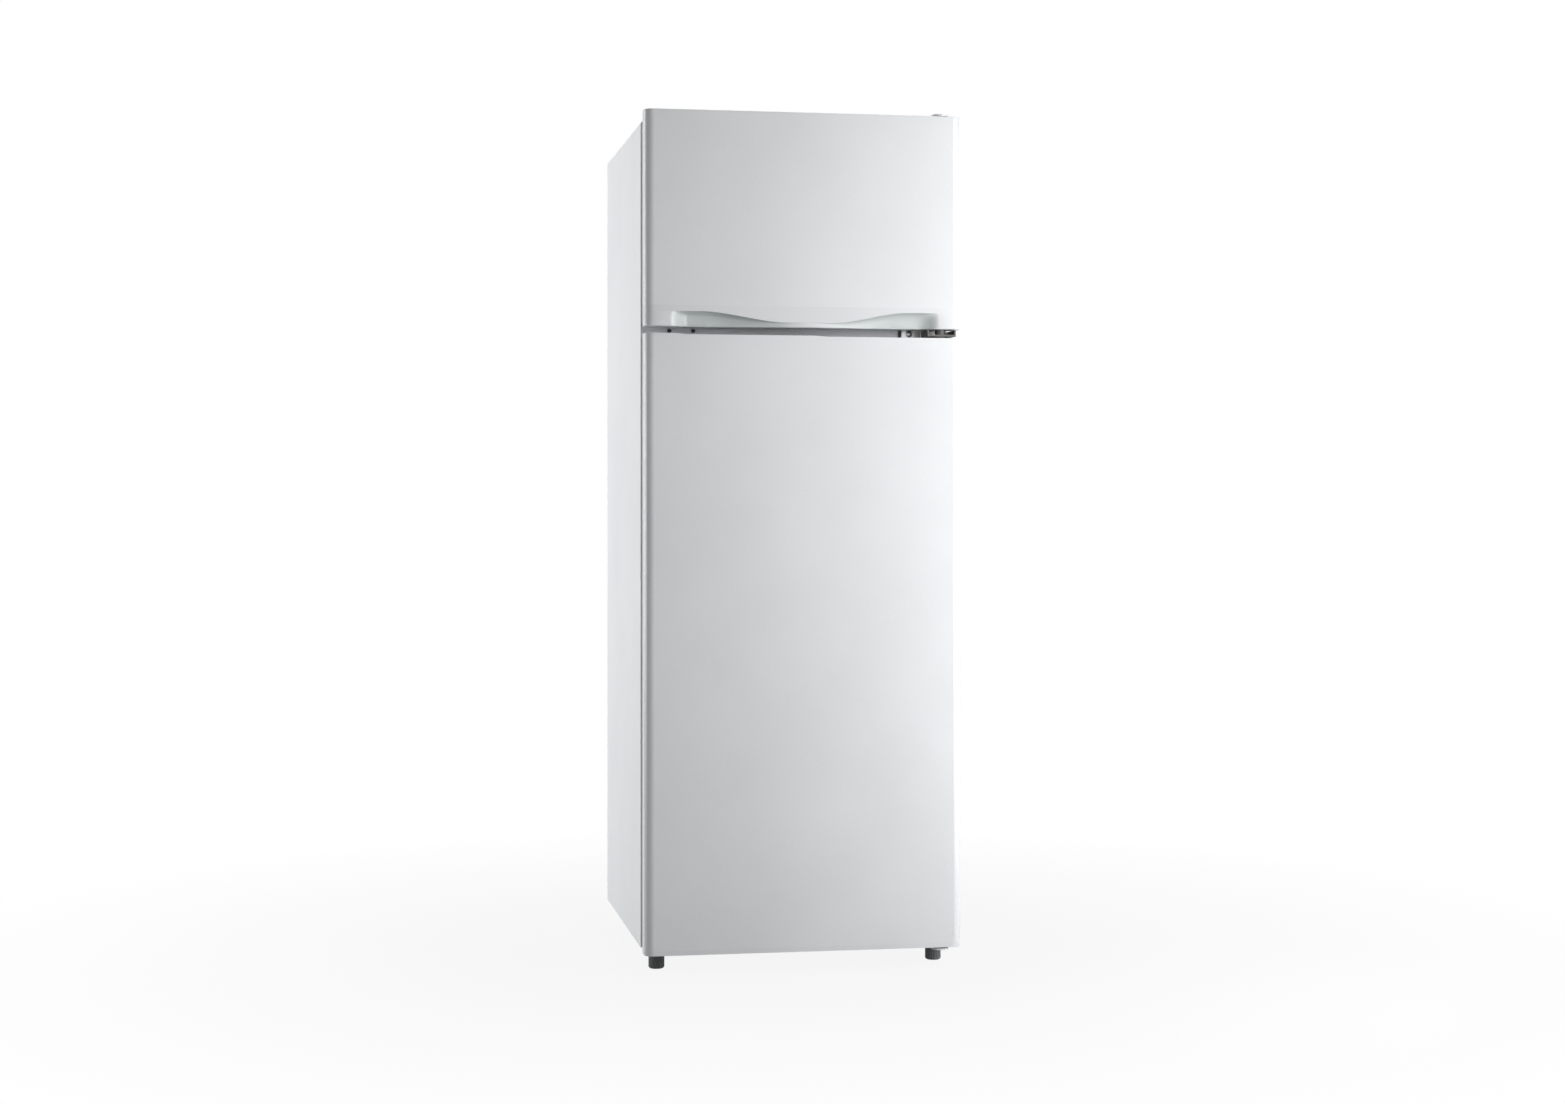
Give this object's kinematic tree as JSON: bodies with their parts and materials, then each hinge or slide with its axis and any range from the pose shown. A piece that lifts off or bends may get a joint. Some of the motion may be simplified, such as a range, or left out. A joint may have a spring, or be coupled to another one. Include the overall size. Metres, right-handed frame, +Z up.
{
  "type": "top freezer refrigerator",
  "caption": "Tall two-door household refrigerator with a freezer above, a wave-shaped handle recess under the freezer door, and a wire condenser at the back.",
  "frame": {"origin": "centre of the overall width and depth, on the floor under the feet and rollers", "axes": "+Z up, +X to the right as seen from the front, -Y towards the doors"},
  "size_m": [0.54, 0.6, 1.447],
  "materials": {
    "silver_steel": "gloss silver-white coated steel sheet",
    "white_steel": "white painted steel sheet, fine texture",
    "grey_steel": "light grey painted steel",
    "zinc_steel": "zinc-plated steel",
    "black_steel": "black painted steel",
    "chrome": "bright plated screws",
    "aluminium": "plain rolled aluminium",
    "copper": null,
    "foam": null,
    "liner_plastic": "white vacuum-formed plastic",
    "silver_plastic": "silver-white moulded plastic",
    "white_plastic": "white moulded plastic",
    "grey_plastic": "light grey moulded plastic",
    "dark_plastic": "black moulded plastic",
    "clear_plastic": "clear moulded plastic",
    "blue_plastic": "pale blue moulded plastic",
    "coated_wire": "white plastic-coated wire",
    "glass": "clear glass",
    "rubber": "black rubber",
    "grey_rubber": "light grey soft magnetic gasket"
  },
  "bodies": {
    "cabinet": {"cabinet_shell": "white_steel", "back_panel": "zinc_steel", "base_panel": "zinc_steel", "mullion_panel": "grey_steel", "cabinet_foam": "foam", "fridge_liner": "liner_plastic", "freezer_liner": "liner_plastic", "evaporator_plates": "aluminium", "drain_tube": "grey_plastic", "hinge_hole_plugs": "dark_plastic", "top_hinge": "white_steel", "top_hinge_cover": "white_plastic", "middle_hinge": "white_steel", "bottom_brackets": "white_steel", "hinge_screws": "chrome", "compressor_rail": "zinc_steel", "compressor": "black_steel", "compressor_grommets": "rubber", "relay_cover": "dark_plastic", "cord_gland": "dark_plastic", "evaporation_tray": "grey_plastic", "condenser_tube": "black_steel", "condenser_wires": "black_steel", "condenser_spacers": "dark_plastic", "refrigerant_tubes": "copper", "control_housing": "white_plastic", "thermostat": "grey_plastic", "lamp_bulb": "glass", "lamp_cover": "clear_plastic", "crisper_cover": "glass"},
    "fridge_door": {"fridge_door_skin": "silver_steel", "fridge_door_foam": "foam", "fridge_door_liner": "liner_plastic", "fridge_door_end_caps": "silver_plastic", "fridge_door_gasket": "grey_rubber", "fridge_door_bushings": "dark_plastic"},
    "freezer_door": {"freezer_door_skin": "silver_steel", "freezer_door_foam": "foam", "freezer_door_liner": "liner_plastic", "freezer_door_top_cap": "silver_plastic", "freezer_door_handle": "silver_plastic", "freezer_door_gasket": "grey_rubber", "freezer_door_bushings": "dark_plastic"},
    "foot_left": {"front_foot_left": "dark_plastic"},
    "foot_right": {"front_foot_right": "dark_plastic"},
    "roller_left": {"rear_roller_left": "dark_plastic"},
    "roller_right": {"rear_roller_right": "dark_plastic"},
    "knob": {"thermostat_knob": "white_plastic"},
    "light_switch": {"light_switch_plunger": "white_plastic"},
    "upper_shelf": {"upper_shelf_glass": "glass", "upper_shelf_trim": "white_plastic"},
    "lower_shelf": {"lower_shelf_glass": "glass", "lower_shelf_trim": "white_plastic"},
    "crisper": {"crisper_drawer": "clear_plastic"},
    "wire_shelf": {"freezer_shelf": "coated_wire"},
    "ice_maker_tray": {"ice_tray": "blue_plastic"},
    "upper_bin": {"upper_door_bin": "clear_plastic"},
    "middle_bin": {"middle_door_bin": "clear_plastic"},
    "lower_bin": {"bottle_bin": "clear_plastic"},
    "freezer_bin": {"freezer_door_bin": "clear_plastic"}
  },
  "joints": [
    {"name": "fridge_door_hinge", "type": "hinge", "parent": "cabinet", "child": "fridge_door", "pos_m": [0.236, -0.283, 0.55], "axis": [0, 0, 1], "range_deg": [0, 130]},
    {"name": "freezer_door_hinge", "type": "hinge", "parent": "cabinet", "child": "freezer_door", "pos_m": [0.236, -0.283, 1.25], "axis": [0, 0, 1], "range_deg": [0, 130]},
    {"name": "foot_left_turn", "type": "hinge", "parent": "cabinet", "child": "foot_left", "pos_m": [-0.24, -0.214, 0.015], "axis": [0, 0, 1], "range_deg": [-360, 360]},
    {"name": "foot_right_turn", "type": "hinge", "parent": "cabinet", "child": "foot_right", "pos_m": [0.24, -0.214, 0.015], "axis": [0, 0, 1], "range_deg": [-360, 360]},
    {"name": "roller_left_spin", "type": "hinge", "parent": "cabinet", "child": "roller_left", "pos_m": [-0.225, 0.236, 0.017], "axis": [1, 0, 0], "continuous": true},
    {"name": "roller_right_spin", "type": "hinge", "parent": "cabinet", "child": "roller_right", "pos_m": [0.225, 0.236, 0.017], "axis": [1, 0, 0], "continuous": true},
    {"name": "thermostat_knob_turn", "type": "hinge", "parent": "cabinet", "child": "knob", "pos_m": [-0.055, -0.11, 1], "axis": [0, 0, -1], "range_deg": [0, 270]},
    {"name": "light_switch_push", "type": "slide", "parent": "cabinet", "child": "light_switch", "axis": [0, 1, 0], "range_m": [0, 0.004], "stiffness_N_per_m": 250, "springref_m": -0.004},
    {"name": "upper_shelf_pull", "type": "slide", "parent": "cabinet", "child": "upper_shelf", "axis": [0, -1, 0], "range_m": [0, 0.04]},
    {"name": "lower_shelf_pull", "type": "slide", "parent": "cabinet", "child": "lower_shelf", "axis": [0, -1, 0], "range_m": [0, 0.04]},
    {"name": "crisper_pull", "type": "slide", "parent": "cabinet", "child": "crisper", "axis": [0, -1, 0], "range_m": [0, 0.038]},
    {"name": "wire_shelf_pull", "type": "slide", "parent": "cabinet", "child": "wire_shelf", "axis": [0, -1, 0], "range_m": [0, 0.055]},
    {"name": "ice_tray_pull", "type": "slide", "parent": "wire_shelf", "child": "ice_maker_tray", "axis": [0, -1, 0], "range_m": [0, 0.02]},
    {"name": "upper_bin_lift", "type": "slide", "parent": "fridge_door", "child": "upper_bin", "axis": [0, 0, 1], "range_m": [0, 0.012]},
    {"name": "middle_bin_lift", "type": "slide", "parent": "fridge_door", "child": "middle_bin", "axis": [0, 0, 1], "range_m": [0, 0.012]},
    {"name": "bottle_bin_lift", "type": "slide", "parent": "fridge_door", "child": "lower_bin", "axis": [0, 0, 1], "range_m": [0, 0.012]},
    {"name": "freezer_bin_lift", "type": "slide", "parent": "freezer_door", "child": "freezer_bin", "axis": [0, 0, 1], "range_m": [0, 0.012]}
  ]
}
